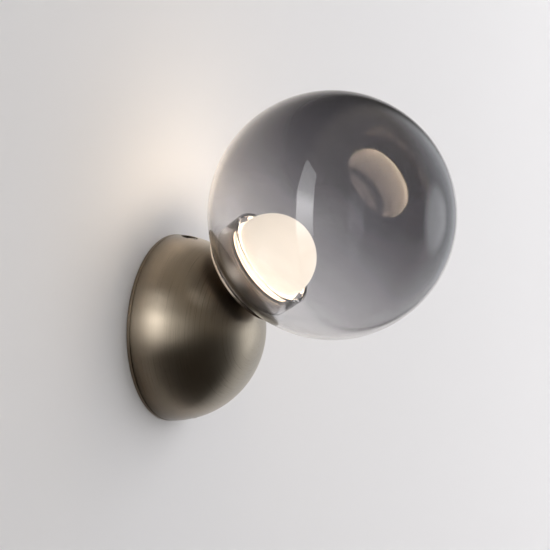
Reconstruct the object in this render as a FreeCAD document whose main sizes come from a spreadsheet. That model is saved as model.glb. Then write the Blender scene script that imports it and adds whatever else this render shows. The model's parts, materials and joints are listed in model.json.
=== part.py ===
import FreeCAD
import Part
import Sketcher
import math
import os
import re

# Globe wall sconce, in millimetres. The wall is the plane Y = 0 and the sconce stands out
# towards -Y, with +Z up and the origin at the middle of the canopy's mouth. A spun hemisphere
# canopy hides the wall bracket, the terminals and the driver. A short neck on the tilted arm
# axis carries a ribbed heat sink collar with the light board, an opal diffuser and a smoked
# glass globe whose re-entrant neck screws over the collar.

DRIVING_SIZES = {
    # Canopy: half a ball, spun from sheet
    "canopy_radius": "58",
    "canopy_wall": "2.2",
    "rim_band": "2.1",
    "rim_groove": "0.45",
    "rim_chamfer": "0.5",
    "seat_pad_radius": "13",
    # Arm axis, neck and the threaded tube through it
    "arm_tilt": "33.4",
    "neck_radius": "19",
    "neck_length": "5.7",
    "tube_radius": "5",
    "tube_bore": "3.6",
    "tube_spare": "1",
    "nut_radius": "8.1",
    "nut_height": "4",
    "washer_radius": "10",
    "washer_thickness": "1",
    "slip_gap": "0.2",
    "thread_gap": "0.05",
    # Heat sink collar and its thread rings
    "flange_inset": "0.3",
    "flange_thickness": "1.6",
    "collar_radius": "28.3",
    "collar_height": "16.5",
    "collar_floor": "3.6",
    "collar_rim": "2.8",
    "thread_height": "1.1",
    "thread_pitch": "3",
    "nut_pocket_gap": "1.7",
    # Light board
    "board_thickness": "1.6",
    "board_gap": "0.6",
    "board_wire_hole": "1.1",
    "chip_side": "3",
    "chip_thickness": "0.8",
    "chip_gap": "2.7",
    "board_screw_gap": "1.4",
    "board_screw_length": "6",
    # Opal diffuser with its twist-lock spigot
    "dome_wall": "2",
    "skirt_height": "5.8",
    "skirt_step": "0.5",
    "skirt_inset": "0.3",
    "spigot_depth": "2.6",
    "spigot_gap": "0.4",
    "lug_half_width": "4",
    "lug_reach": "0.8",
    "lug_thickness": "1.2",
    "lug_gap": "0.3",
    "groove_ceiling": "1",
    "unlock_angle": "30",
    # Glass globe and its gasket
    "globe_radius": "75",
    "glass_wall": "2.4",
    "glass_gap": "0.5",
    "glass_neck_length": "19.4",
    "lip_round": "0.9",
    "gasket_thickness": "1.2",
    "gasket_inset": "0.4",
    # Wall bracket
    "bracket_radius": "46",
    "bracket_thickness": "2",
    "ear_half_width": "7",
    "ear_length": "17",
    "ear_gap": "1.2",
    "cable_hole_radius": "9",
    "cable_bore": "5",
    "bush_flange": "2.5",
    "bush_flange_thickness": "1.4",
    "wall_slot_radius": "2.6",
    "wall_slot_half_length": "3",
    "wall_hole_spacing": "66",
    # Screws
    "canopy_screw_inset": "12.8",
    "canopy_screw_radius": "2",
    "canopy_screw_head": "3.4",
    "canopy_screw_recess": "4.1",
    "canopy_sink_tip": "0.1",
    "canopy_screw_grip": "2",
    "small_screw_radius": "1.5",
    "small_screw_head": "2.8",
    "small_head_height": "1.8",
    "earth_screw_head": "3.8",
    "earth_head_height": "2.4",
    "tip_gap": "0.2",
    # Terminal block
    "block_length": "30",
    "block_depth": "15",
    "block_height": "14",
    "block_up": "27",
    "pole_pitch": "10",
    "pole_height": "6",
    "sleeve_radius": "2.25",
    "sleeve_bore": "1.5",
    "sleeve_inset": "1",
    "clamp_screw_radius": "1.25",
    "clamp_screw_length": "5.2",
    "clamp_access_radius": "1.9",
    # Driver, which fills the room between the cable bush and the canopy
    "driver_length": "46",
    "driver_height": "18",
    "driver_corner": "2",
    "driver_bush_gap": "2.5",
    "driver_canopy_gap": "6.7",
    "tab_length": "6",
    "tab_thickness": "2",
    # Earth point
    "earth_across": "20",
    "earth_up": "4",
    "ring_terminal_radius": "4",
    "ring_terminal_thickness": "0.8",
    # Leads, with their straight ends and the places where they leave the driver
    "mains_lead_radius": "1.1",
    "board_lead_radius": "0.9",
    "board_lead_spacing": "1.3",
    "lead_end": "5",
    "lead_fall": "8",
    "lead_belly": "6",
    "lead_sway": "1",
    "live_gland": "6.5",
    "neutral_gland": "13",
    "positive_gland": "9",
    "negative_gland": "4.5",
}

OUTER_CHIPS = 9
INNER_CHIPS = 3
BOARD_SCREWS = 3
DIFFUSER_LUGS = 3
THREAD_RINGS = 4
BEND_SHARE = 0.45

# Places and sizes that follow from the driving sizes. "Station" is the distance along the arm
# axis from the centre of the canopy's ball, and "out" is the distance from the wall.
DERIVED_SIZES = {
    "inner_radius": "canopy_radius - canopy_wall",
    "neck_station": "sqrt(canopy_radius^2 - neck_radius^2)",
    "washer_station": "neck_station - canopy_wall",
    "collar_station": "neck_station + neck_length",
    "gasket_station": "collar_station + flange_thickness",
    "lip_station": "gasket_station + gasket_thickness",
    "rim_station": "collar_station + collar_height",
    "tube_hole": "tube_radius + slip_gap",
    "tube_start": "washer_station - washer_thickness - nut_height - tube_spare",
    "tube_end": "collar_station + collar_floor + nut_height + tube_spare / 2",
    "nut_pocket_radius": "nut_radius + nut_pocket_gap",
    "rim_bore": "collar_radius - collar_rim",
    "board_radius": "rim_bore - board_gap",
    "board_top": "spigot_depth + spigot_gap",
    "board_seat": "board_top + board_thickness",
    "spigot_radius": "rim_bore - lug_gap",
    "spigot_bore": "spigot_radius - dome_wall",
    "board_screw_ring": "spigot_bore - board_screw_gap - small_screw_head",
    "outer_chip_ring": "board_screw_ring - small_screw_head - chip_gap - chip_side / 2",
    "wire_hole_edge": "board_lead_spacing + board_wire_hole",
    "inner_chip_ring": "(outer_chip_ring - chip_side / 2 + wire_hole_edge) / 2",
    "lug_edge": "spigot_radius + lug_reach",
    "lug_corner": "sqrt(lug_edge^2 + lug_half_width^2)",
    "groove_radius": "lug_corner + 2 * lug_gap",
    "groove_floor": "lug_thickness + groove_ceiling + 2 * lug_gap",
    "skirt_radius": "collar_radius - skirt_inset",
    "dome_radius": "skirt_radius - 2 * skirt_step",
    "glass_neck_bore": "collar_radius + thread_height + glass_gap",
    "lip_radius": "glass_neck_bore + glass_wall",
    "flange_radius": "lip_radius - flange_inset",
    "globe_centre": "sqrt(globe_radius^2 - lip_radius^2)",
    "globe_cavity": "globe_radius - glass_wall",
    "ear_hole": "canopy_screw_radius + thread_gap",
    "ear_reach": "sqrt(inner_radius^2 - ear_half_width^2 - ear_length^2) - ear_gap",
    "screw_seat": "sqrt(canopy_radius^2 - canopy_screw_inset^2)",
    "screw_top": "screw_seat - canopy_screw_recess + canopy_screw_head",
    "block_screw_across": "pole_pitch / 2",
    "plate_hole": "small_screw_radius + thread_gap",
    "driver_out": "bracket_thickness + driver_height",
    "driver_room": "sqrt(inner_radius^2 - (driver_length / 2)^2 - driver_out^2)",
    "driver_foot": "driver_room - driver_canopy_gap",
    "driver_head": "cable_hole_radius + bush_flange + driver_bush_gap",
    "driver_depth": "driver_foot - driver_head",
    "driver_drop": "(driver_foot + driver_head) / 2",
    "tab_across": "driver_length / 2 + tab_length / 2",
}

doc = FreeCAD.newDocument("GlobeWallSconce")
nodes = []


# ---------------------------------------------------------------- sizes and expressions

def make_sheet():
    """Put the driving sizes in the sheet, one alias to a cell."""
    sheet = doc.addObject("Spreadsheet::Sheet", "Sizes")
    for row, (name, size) in enumerate(DRIVING_SIZES.items(), start=1):
        sheet.set(f"A{row}", name)
        sheet.set(f"B{row}", size)
        sheet.setAlias(f"B{row}", name)
    doc.recompute()
    return sheet


def spelled(text):
    """Write an expression of size names as one that the document understands."""
    def replace(match):
        word = match.group()
        if word in DERIVED_SIZES:
            return f"({spelled(DERIVED_SIZES[word])})"
        if word in DRIVING_SIZES:
            return f"Sizes.{word}"
        return word
    return re.sub(r"[a-z][a-z_0-9]*", replace, str(text))


def size(text):
    """Value of an expression of size names."""
    return float(sheet.evalExpression(spelled(text)))


def bind(thing, **sizes):
    """Bind properties to expressions of size names."""
    for name, text in sizes.items():
        thing.setExpression(name, spelled(text))


def part(kind, name, **sizes):
    """Add an object and bind its sizes."""
    thing = doc.addObject(kind, name)
    bind(thing, **sizes)
    return thing


def put(thing, tilt, x="0", y="0", z="0"):
    """Stand a piece in the frame whose Z leans up from the wall's normal by tilt.

    X runs along the wall, Z points out of the wall and Y completes the frame, so a tilt of 0
    is the wall's own frame and arm_tilt is the frame of the arm axis.
    """
    across = FreeCAD.Vector(1, 0, 0)
    turn = FreeCAD.Rotation(across, size(f"90 - {tilt}"))
    thing.Placement = FreeCAD.Placement(FreeCAD.Vector(), turn)
    thing.setExpression("Placement.Rotation.Angle", spelled(f"90 - {tilt}"))
    thing.setExpression("Placement.Base.x", spelled(x))
    thing.setExpression("Placement.Base.y", spelled(f"({y}) * sin({tilt}) - ({z}) * cos({tilt})"))
    thing.setExpression("Placement.Base.z", spelled(f"({y}) * cos({tilt}) + ({z}) * sin({tilt})"))
    return thing


def on_wall(thing, x="0", y="0", z="0"):
    """Stand a piece on the wall: x across, y up and z out."""
    return put(thing, "0", x, y, z)


def on_arm(thing, station, x="0", y="0"):
    """Stand a piece on the arm axis at a station."""
    return put(thing, "arm_tilt", x, y, station)


def node(thing, name):
    """Name a finished piece."""
    thing.Label = name
    nodes.append(thing)
    return thing


def group(name, things):
    """Join like solids into one named piece."""
    compound = doc.addObject("Part::Compound", name)
    compound.Links = things
    return node(compound, name)


# ---------------------------------------------------------------- sketches and features

def sketch_on(body, role, name):
    """Start a sketch on one of the body's own planes."""
    sketch = body.newObject("Sketcher::SketchObject", name)
    plane = next(item for item in body.Origin.OriginFeatures if item.Role == role)
    sketch.AttachmentSupport = [(plane, "")]
    sketch.MapMode = "FlatFace"
    return sketch


def pin_coordinate(sketch, kind, geometry, position, text):
    """Tie one coordinate of a sketch point to an expression, or to the axis where it is 0."""
    if text == "0":
        axis = -2 if kind == "DistanceX" else -1
        sketch.addConstraint(Sketcher.Constraint("PointOnObject", geometry, position, axis))
        return
    constraint = Sketcher.Constraint(kind, -1, 1, geometry, position, size(text))
    index = sketch.addConstraint(constraint)
    sketch.setExpression(f"Constraints[{index}]", spelled(text))


def arc_between(start, end, centre):
    """Shorter arc from start to end, and whether it runs backwards."""
    first = math.atan2(start.y - centre.y, start.x - centre.x)
    last = math.atan2(end.y - centre.y, end.x - centre.x)
    backwards = (last - first) % (2 * math.pi) > math.pi
    if backwards:
        first, last = last, first
    circle = Part.Circle(centre, FreeCAD.Vector(0, 0, 1), (start - centre).Length)
    return Part.ArcOfCircle(circle, first, last), backwards


def outline(sketch, points):
    """Draw a closed outline through points, each (x, y) or (x, y, centre x, centre y).

    A point with a centre starts an arc about that centre, any other starts a straight line.
    """
    spots = [FreeCAD.Vector(size(point[0]), size(point[1]), 0) for point in points]
    ends = []
    for index, point in enumerate(points):
        start = spots[index]
        end = spots[(index + 1) % len(spots)]
        if len(point) == 2:
            geometry = sketch.addGeometry(Part.LineSegment(start, end))
            ends.append((geometry, 1, 2))
            continue
        centre = FreeCAD.Vector(size(point[2]), size(point[3]), 0)
        arc, backwards = arc_between(start, end, centre)
        geometry = sketch.addGeometry(arc)
        ends.append((geometry, 2, 1) if backwards else (geometry, 1, 2))
    for index, (geometry, first, last) in enumerate(ends):
        after = ends[(index + 1) % len(ends)]
        sketch.addConstraint(Sketcher.Constraint("Coincident", geometry, last, after[0], after[1]))
    for index, point in enumerate(points):
        geometry, first, last = ends[index]
        pin_coordinate(sketch, "DistanceX", geometry, first, point[0])
        pin_coordinate(sketch, "DistanceY", geometry, first, point[1])
        if len(point) == 4:
            pin_centre(sketch, geometry, point, spots[index], spots[(index + 1) % len(spots)])


def pin_centre(sketch, geometry, point, start, end):
    """Tie an arc's centre, whose other coordinate follows from the arc's two ends."""
    if abs(end.y - start.y) > 0.05 * abs(end.x - start.x):
        pin_coordinate(sketch, "DistanceX", geometry, 3, point[2])
    else:
        pin_coordinate(sketch, "DistanceY", geometry, 3, point[3])


def circle(sketch, x, y, radius):
    """Draw a circle whose centre and radius follow expressions."""
    centre = FreeCAD.Vector(size(x), size(y), 0)
    normal = FreeCAD.Vector(0, 0, 1)
    geometry = sketch.addGeometry(Part.Circle(centre, normal, size(radius)))
    index = sketch.addConstraint(Sketcher.Constraint("Radius", geometry, size(radius)))
    sketch.setExpression(f"Constraints[{index}]", spelled(radius))
    pin_coordinate(sketch, "DistanceX", geometry, 3, x)
    pin_coordinate(sketch, "DistanceY", geometry, 3, y)


def rectangle(sketch, left, right, bottom, top):
    """Draw a rectangle between four expressions."""
    outline(sketch, [(left, bottom), (right, bottom), (right, top), (left, top)])


def turned(name, points):
    """Body made by turning an outline of (radius, height) points about its Z axis."""
    body = doc.addObject("PartDesign::Body", name)
    sketch = sketch_on(body, "XZ_Plane", f"{name}_profile")
    outline(sketch, points)
    turning = body.newObject("PartDesign::Revolution", f"{name}_turning")
    turning.Profile = sketch
    turning.ReferenceAxis = (sketch, ["V_Axis"])
    turning.Angle = 360
    body.Tip = turning
    doc.recompute()
    return body


def ring_piece(name, inner, outer, height):
    """Plain turned ring."""
    return turned(name, [(inner, "0"), (outer, "0"), (outer, height), (inner, height)])


def feature(body, kind, sketch, name, length=None, backwards=False, both_ways=False):
    """Add a pad or a pocket from a sketch, through everything where no length is given."""
    item = body.newObject(f"PartDesign::{kind}", name)
    item.Profile = sketch
    if length is None:
        item.Type = "ThroughAll"
    else:
        bind(item, Length=length)
    if both_ways:
        item.SideType = "Symmetric"
    item.Reversed = backwards
    body.Tip = item
    return item


def repeat_round(body, item, count, name):
    """Repeat a feature evenly about the body's Z axis."""
    pattern = body.newObject("PartDesign::PolarPattern", name)
    pattern.Originals = [item]
    axis = next(entry for entry in body.Origin.OriginFeatures if entry.Role == "Z_Axis")
    pattern.Axis = (axis, [""])
    pattern.Angle = 360
    pattern.Occurrences = count
    body.Tip = pattern
    return pattern


def pocket(body, name, draw, length=None, backwards=True, both_ways=False, role="XY_Plane"):
    """Cut a pocket whose sketch is drawn by a function, and make sure that it cuts."""
    doc.recompute()
    before = body.Shape.Volume
    sketch = sketch_on(body, role, f"{name}_sketch")
    draw(sketch)
    item = feature(body, "Pocket", sketch, name, length, backwards, both_ways)
    doc.recompute()
    assert body.Shape.Volume < before, f"{name} cuts nothing"
    return item


def cut(name, base, tools):
    """Take tools away from a solid, one after another."""
    for index, tool in enumerate(tools, start=1):
        step = doc.addObject("Part::Cut", f"{name}_cut_{index}")
        step.Base = base
        step.Tool = tool
        base = step
    return base


def cross_recess(body, name, reach, width, depth):
    """Press a cross recess into a screw head that lies at Z = 0."""
    def draw(sketch):
        outline(sketch, [
            (width, width), (width, reach), (f"-({width})", reach), (f"-({width})", width),
            (f"-({reach})", width), (f"-({reach})", f"-({width})"),
            (f"-({width})", f"-({width})"), (f"-({width})", f"-({reach})"),
            (width, f"-({reach})"), (width, f"-({width})"),
            (reach, f"-({width})"), (reach, width),
        ])
    pocket(body, name, draw, depth, backwards=False)


def pan_screw(name, radius, head, head_height, length):
    """Pan head screw with the head's top at Z = 0 and the shank below it."""
    edge = f"({head_height}) / 3"
    tip = f"({radius}) / 4"
    foot = f"-({head_height}) - ({length})"
    body = turned(name, [
        ("0", "0"), (f"({head}) - {edge}", "0"), (head, f"-{edge}"),
        (head, f"-({head_height})"), (radius, f"-({head_height})"),
        (radius, f"{foot} + {tip}"), (f"({radius}) - {tip}", foot), ("0", foot),
    ])
    cross_recess(body, f"{name}_recess", f"({head}) / 2", f"({head}) / 8", f"({head_height}) / 2")
    return body


# ---------------------------------------------------------------- wall bracket and its fittings

def make_bracket():
    """Pressed steel plate with two ears that take the canopy screws."""
    body = doc.addObject("PartDesign::Body", "bracket_body")
    plate = sketch_on(body, "XY_Plane", "plate_sketch")
    circle(plate, "0", "0", "bracket_radius")
    feature(body, "Pad", plate, "plate", "bracket_thickness")
    tongues = sketch_on(body, "XY_Plane", "tongue_sketch")
    rectangle(tongues, "-ear_half_width", "ear_half_width", "-ear_reach", "ear_reach")
    feature(body, "Pad", tongues, "tongues", "bracket_thickness")
    for side, sign in (("top", ""), ("bottom", "-")):
        ear = sketch_on(body, "XY_Plane", f"{side}_ear_sketch")
        inner = f"{sign}(ear_reach - bracket_thickness)"
        rectangle(ear, "-ear_half_width", "ear_half_width", inner, f"{sign}ear_reach")
        feature(body, "Pad", ear, f"{side}_ear", "ear_length")
    pocket(body, "cable_hole", lambda sketch: circle(sketch, "0", "0", "cable_hole_radius"))
    pocket(
        body, "ear_holes", lambda sketch: circle(sketch, "0", "canopy_screw_inset", "ear_hole"),
        both_ways=True, role="XZ_Plane",
    )
    for side, sign in (("left", "-"), ("right", "")):
        pocket(body, f"{side}_slot", lambda sketch: slot(sketch, f"{sign}wall_hole_spacing / 2"))
        pocket(
            body, f"{side}_tab_hole",
            lambda sketch: circle(sketch, f"{sign}tab_across", "-driver_drop", "plate_hole"),
        )
    pocket(
        body, "block_hole",
        lambda sketch: circle(sketch, "block_screw_across", "block_up", "plate_hole"),
    )
    pocket(body, "earth_hole", lambda sketch: circle(sketch, "-earth_across", "earth_up", "ear_hole"))
    node(on_wall(body), "wall_bracket")


def slot(sketch, across):
    """Level wall-screw slot with round ends."""
    left = f"{across} - wall_slot_half_length"
    right = f"{across} + wall_slot_half_length"
    outline(sketch, [
        (left, "-wall_slot_radius"),
        (right, "-wall_slot_radius", right, "0"),
        (f"{right} + wall_slot_radius", "0", right, "0"),
        (right, "wall_slot_radius"),
        (left, "wall_slot_radius", left, "0"),
        (f"{left} - wall_slot_radius", "0", left, "0"),
    ])


def make_cable_bush():
    """Snap-in bush that lines the cable hole."""
    flange = "cable_hole_radius + bush_flange"
    top = "bracket_thickness + bush_flange_thickness"
    sleeve = "cable_hole_radius - thread_gap"
    body = turned("bush_body", [
        ("cable_bore", "0"), (sleeve, "0"), (sleeve, "bracket_thickness"),
        (flange, "bracket_thickness"), (flange, f"{top} - rim_chamfer"),
        (f"{flange} - rim_chamfer", top), ("cable_bore", top),
    ])
    node(on_wall(body), "cable_bush")


def pole_positions():
    """Places of the terminal block's three poles across the wall."""
    return [("earth", "-pole_pitch"), ("live", "0"), ("neutral", "pole_pitch")]


def make_terminal_block():
    """Moulded three-pole block with brass sleeves, clamp screws and one fixing screw."""
    body = doc.addObject("PartDesign::Body", "block_body")
    base = sketch_on(body, "XY_Plane", "block_sketch")
    rectangle(base, "-block_length / 2", "block_length / 2", "-block_depth / 2", "block_depth / 2")
    feature(body, "Pad", base, "block", "block_height")
    for pole, across in pole_positions():
        pocket(
            body, f"{pole}_bore",
            lambda sketch: circle(sketch, across, "pole_height", "sleeve_radius + thread_gap"),
            both_ways=True, role="XZ_Plane",
        )
        pocket(
            body, f"{pole}_access",
            lambda sketch: circle(sketch, across, "0", "clamp_access_radius"),
            "block_height", both_ways=False,
        )
    pocket(
        body, "fixing_hole",
        lambda sketch: circle(sketch, "block_screw_across", "0", "small_screw_radius + slip_gap"),
    )
    node(on_wall(body, y="block_up", z="bracket_thickness"), "terminal_block")


def make_terminal_sleeves():
    """Brass sleeves that the lead ends slide into."""
    sleeves = []
    length = "block_depth - 2 * sleeve_inset"
    for pole, across in pole_positions():
        body = ring_piece(f"{pole}_sleeve", "sleeve_bore", "sleeve_radius", length)
        drill = part("Part::Cylinder", f"{pole}_drill", Radius="clamp_screw_radius + thread_gap",
                     Height="sleeve_radius * 2")
        body.Placement = FreeCAD.Placement()
        body.setExpression("Placement.Base.x", spelled(across))
        body.setExpression("Placement.Base.y", spelled("-bracket_thickness - pole_height"))
        body.setExpression("Placement.Base.z", spelled("block_up + sleeve_inset - block_depth / 2"))
        on_wall(drill, across, "block_up", "bracket_thickness + pole_height")
        sleeves.append(cut(f"{pole}_sleeve", body, [drill]))
    group("terminal_sleeves", sleeves)


def make_clamp_screws():
    """Slotted grub screws that clamp the leads in the sleeves."""
    screws = []
    tip_out = "bracket_thickness + pole_height + mains_lead_radius"
    for pole, across in pole_positions():
        body = turned(f"{pole}_grub", [
            ("0", "0"), ("clamp_screw_radius", "0"),
            ("clamp_screw_radius", "clamp_screw_length"), ("0", "clamp_screw_length"),
        ])
        blade = part(
            "Part::Box", f"{pole}_blade", Length="clamp_screw_radius * 4",
            Width="clamp_screw_radius / 2", Height="clamp_screw_radius",
        )
        on_wall(body, across, "block_up", tip_out)
        on_wall(
            blade, f"{across} - clamp_screw_radius * 2", "block_up - clamp_screw_radius / 4",
            f"{tip_out} + clamp_screw_length - clamp_screw_radius / 2",
        )
        screws.append(cut(f"{pole}_grub", body, [blade]))
    group("terminal_screws", screws)


def make_block_screw():
    """Screw that holds the terminal block to the bracket."""
    length = "block_height + bracket_thickness - tip_gap"
    body = pan_screw("block_screw_body", "small_screw_radius", "small_screw_head",
                     "small_head_height", length)
    out = "bracket_thickness + block_height + small_head_height"
    node(on_wall(body, "block_screw_across", "block_up", out), "block_screw")


def make_driver():
    """Potted driver with a fixing tab at each end."""
    body = doc.addObject("PartDesign::Body", "driver_body")
    tabs = sketch_on(body, "XY_Plane", "tab_sketch")
    reach = "driver_length / 2 + tab_length"
    rectangle(tabs, f"-({reach})", reach, "-tab_length", "tab_length")
    feature(body, "Pad", tabs, "tabs", "tab_thickness")
    case = sketch_on(body, "XY_Plane", "case_sketch")
    half = "driver_length / 2"
    side = "driver_depth / 2"
    corner = "driver_corner"
    outline(sketch=case, points=[
        (f"{half} - {corner}", f"-{side}", f"{half} - {corner}", f"{corner} - {side}"),
        (half, f"{corner} - {side}"),
        (half, f"{side} - {corner}", f"{half} - {corner}", f"{side} - {corner}"),
        (f"{half} - {corner}", side),
        (f"{corner} - {half}", side, f"{corner} - {half}", f"{side} - {corner}"),
        (f"-{half}", f"{side} - {corner}"),
        (f"-{half}", f"{corner} - {side}", f"{corner} - {half}", f"{corner} - {side}"),
        (f"{corner} - {half}", f"-{side}"),
    ])
    feature(body, "Pad", case, "case", "driver_height")
    for end, sign in (("left", "-"), ("right", "")):
        pocket(
            body, f"{end}_hole",
            lambda sketch: circle(sketch, f"{sign}tab_across", "0", "small_screw_radius + slip_gap"),
        )
    node(on_wall(body, y="-driver_drop", z="bracket_thickness"), "led_driver")


def make_driver_screws():
    """Two screws through the driver's tabs."""
    screws = []
    for end, sign in (("left", "-"), ("right", "")):
        body = pan_screw(f"{end}_driver_screw", "small_screw_radius", "small_screw_head",
                         "small_head_height", "tab_thickness + bracket_thickness - tip_gap")
        out = "bracket_thickness + tab_thickness + small_head_height"
        screws.append(on_wall(body, f"{sign}tab_across", "-driver_drop", out))
    group("driver_screws", screws)


def make_earth_point():
    """Earth screw with a toothed washer and the ring terminal of the earth lead."""
    washer = turned("washer_body", [
        ("canopy_screw_radius + slip_gap", "0"), ("ring_terminal_radius", "0"),
        ("ring_terminal_radius", "ring_terminal_thickness"),
        ("canopy_screw_radius + slip_gap", "ring_terminal_thickness"),
    ])
    node(on_wall(washer, "-earth_across", "earth_up", "bracket_thickness"), "earth_washer")
    stack = "bracket_thickness + 2 * ring_terminal_thickness"
    ring = doc.addObject("PartDesign::Body", "ring_body")
    disc = sketch_on(ring, "XY_Plane", "ring_sketch")
    circle(disc, "0", "0", "ring_terminal_radius")
    feature(ring, "Pad", disc, "ring", "ring_terminal_thickness")
    tongue = sketch_on(ring, "XY_Plane", "tongue_outline")
    rectangle(tongue, "-ring_terminal_radius / 2", "ring_terminal_radius / 2", "0",
              "ring_terminal_radius * 2")
    feature(ring, "Pad", tongue, "tongue", "ring_terminal_thickness")
    pocket(ring, "ring_hole",
           lambda sketch: circle(sketch, "0", "0", "canopy_screw_radius + slip_gap"))
    node(on_wall(ring, "-earth_across", "earth_up", f"{stack} - ring_terminal_thickness"),
         "earth_ring_terminal")
    screw = pan_screw("earth_screw_body", "canopy_screw_radius", "earth_screw_head",
                      "earth_head_height", f"{stack} - tip_gap")
    node(on_wall(screw, "-earth_across", "earth_up", f"{stack} + earth_head_height"), "earth_screw")


# ---------------------------------------------------------------- canopy

def make_canopy():
    """Spun hemisphere with a flat seat for the neck and two countersunk screw holes."""
    band = "rim_band"
    sphere_at = "sqrt(canopy_radius^2 - ({})^2)".format
    groove_top = "rim_band + 2 * rim_groove"
    shell = turned("canopy_body", [
        ("inner_radius", "0"),
        ("canopy_radius - rim_chamfer", "0"),
        ("canopy_radius", "rim_chamfer"),
        ("canopy_radius", band),
        ("canopy_radius - rim_groove", f"{band} + rim_groove"),
        (sphere_at(groove_top), groove_top, "0", "0"),
        ("0", "canopy_radius"),
        ("0", "inner_radius", "0", "0"),
    ])
    on_wall(shell)
    pad = part("Part::Cylinder", "seat_pad", Radius="seat_pad_radius", Height="canopy_wall")
    on_arm(pad, "washer_station")
    padded = doc.addObject("Part::Fuse", "padded_canopy")
    padded.Base = shell
    padded.Tool = pad
    cap = part("Part::Cylinder", "seat_cap", Radius="neck_radius", Height="canopy_radius")
    on_arm(cap, "neck_station")
    bore = part("Part::Cylinder", "seat_bore", Radius="tube_hole", Height="canopy_radius")
    on_arm(bore, "neck_station - canopy_radius / 2")
    tools = [cap, bore]
    for side in ("top", "bottom"):
        tools.extend(canopy_screw_tools(side))
    node(cut("canopy", padded, tools), "canopy_dome")


def upright(thing, side, height):
    """Stand a tool or screw on the canopy screws' vertical line, upside down at the bottom."""
    across = FreeCAD.Vector(1, 0, 0)
    turn = FreeCAD.Rotation(across, 0 if side == "top" else 180)
    thing.Placement = FreeCAD.Placement(FreeCAD.Vector(), turn)
    sign = "" if side == "top" else "-"
    thing.setExpression("Placement.Base.y", spelled("-canopy_screw_inset"))
    thing.setExpression("Placement.Base.z", spelled(f"{sign}({height})"))
    return thing


def canopy_screw_tools(side):
    """Drill and countersink for one canopy screw."""
    drill = part("Part::Cylinder", f"{side}_drill", Radius="canopy_screw_radius + slip_gap",
                 Height="canopy_radius / 2")
    upright(drill, side, "screw_seat - canopy_radius / 4")
    sink = part("Part::Cone", f"{side}_sink", Radius1="canopy_sink_tip",
                Radius2="canopy_screw_recess + canopy_wall",
                Height="canopy_screw_recess + canopy_wall - canopy_sink_tip")
    upright(sink, side, "screw_seat - canopy_screw_recess + canopy_sink_tip")
    return [drill, sink]


def make_canopy_screws():
    """Countersunk screws through the canopy into the bracket's ears."""
    screws = []
    length = "screw_top - ear_reach + bracket_thickness + canopy_screw_grip"
    cone = "canopy_screw_head - canopy_screw_radius"
    tip = "canopy_screw_radius / 4"
    for side in ("top", "bottom"):
        body = turned(f"{side}_canopy_screw", [
            ("0", "0"), ("canopy_screw_head", "0"), ("canopy_screw_radius", f"-({cone})"),
            ("canopy_screw_radius", f"{tip} - ({length})"),
            (f"canopy_screw_radius - {tip}", f"-({length})"), ("0", f"-({length})"),
        ])
        cross_recess(body, f"{side}_recess", "canopy_screw_head / 2", "canopy_screw_head / 8",
                     "canopy_screw_radius / 2")
        screws.append(upright(body, side, "screw_top"))
    group("canopy_screws", screws)


# ---------------------------------------------------------------- neck and threaded tube

def make_neck():
    """Turned spacer between the canopy's seat and the collar."""
    body = ring_piece("neck_body", "tube_hole", "neck_radius", "neck_length")
    node(on_arm(body, "neck_station"), "neck")


def make_threaded_tube():
    """Hollow threaded tube that ties canopy, neck and collar, with its washer and two nuts."""
    tube = ring_piece("tube_body", "tube_bore", "tube_radius", "tube_end - tube_start")
    node(on_arm(tube, "tube_start"), "threaded_tube")
    washer = ring_piece("tube_washer_body", "tube_hole", "washer_radius", "washer_thickness")
    node(on_arm(washer, "washer_station - washer_thickness"), "tube_washer")
    inner = "washer_station - washer_thickness - nut_height"
    outer = "collar_station + collar_floor"
    for name, station in (("canopy_nut", inner), ("collar_nut", outer)):
        prism = part("Part::Prism", f"{name}_prism", Circumradius="nut_radius", Height="nut_height")
        prism.Polygon = 6
        on_arm(prism, station)
        bore = part("Part::Cylinder", f"{name}_bore", Radius="tube_radius + thread_gap",
                    Height="nut_height * 3")
        on_arm(bore, f"{station} - nut_height")
        node(cut(name, prism, [bore]), name)


# ---------------------------------------------------------------- collar and light board

def thread_outline():
    """Rounded thread rings up the outside of the collar."""
    points = []
    first = "flange_thickness + gasket_thickness"
    for turn in range(THREAD_RINGS):
        start = f"{first} + {turn} * thread_pitch"
        points.append(("collar_radius", f"{start} + thread_pitch / 8"))
        points.append(("collar_radius + thread_height", f"{start} + thread_pitch * 3 / 8"))
        points.append(("collar_radius + thread_height", f"{start} + thread_pitch * 5 / 8"))
        points.append(("collar_radius", f"{start} + thread_pitch * 7 / 8"))
    return points


def make_collar():
    """Turned heat sink with a seat flange, thread rings, board recess and diffuser notches."""
    top = "collar_height"
    body = turned("collar_body", [
        ("tube_hole", "0"),
        ("flange_radius - rim_chamfer", "0"),
        ("flange_radius", "rim_chamfer"),
        ("flange_radius", "flange_thickness"),
        ("collar_radius", "flange_thickness"),
        *thread_outline(),
        ("collar_radius", top),
        ("rim_bore", top),
        ("rim_bore", f"{top} - groove_ceiling"),
        ("groove_radius", f"{top} - groove_ceiling"),
        ("groove_radius", f"{top} - groove_floor"),
        ("rim_bore", f"{top} - groove_floor"),
        ("rim_bore", f"{top} - board_seat"),
        ("nut_pocket_radius", f"{top} - board_seat"),
        ("nut_pocket_radius", "collar_floor"),
        ("tube_hole", "collar_floor"),
    ])
    notch = notch_pocket(body)
    repeat_round(body, notch, DIFFUSER_LUGS, "notches")
    doc.recompute()
    hole = board_screw_hole(body)
    repeat_round(body, hole, BOARD_SCREWS, "board_screw_holes")
    node(on_arm(body, "collar_station"), "heat_sink_collar")


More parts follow.
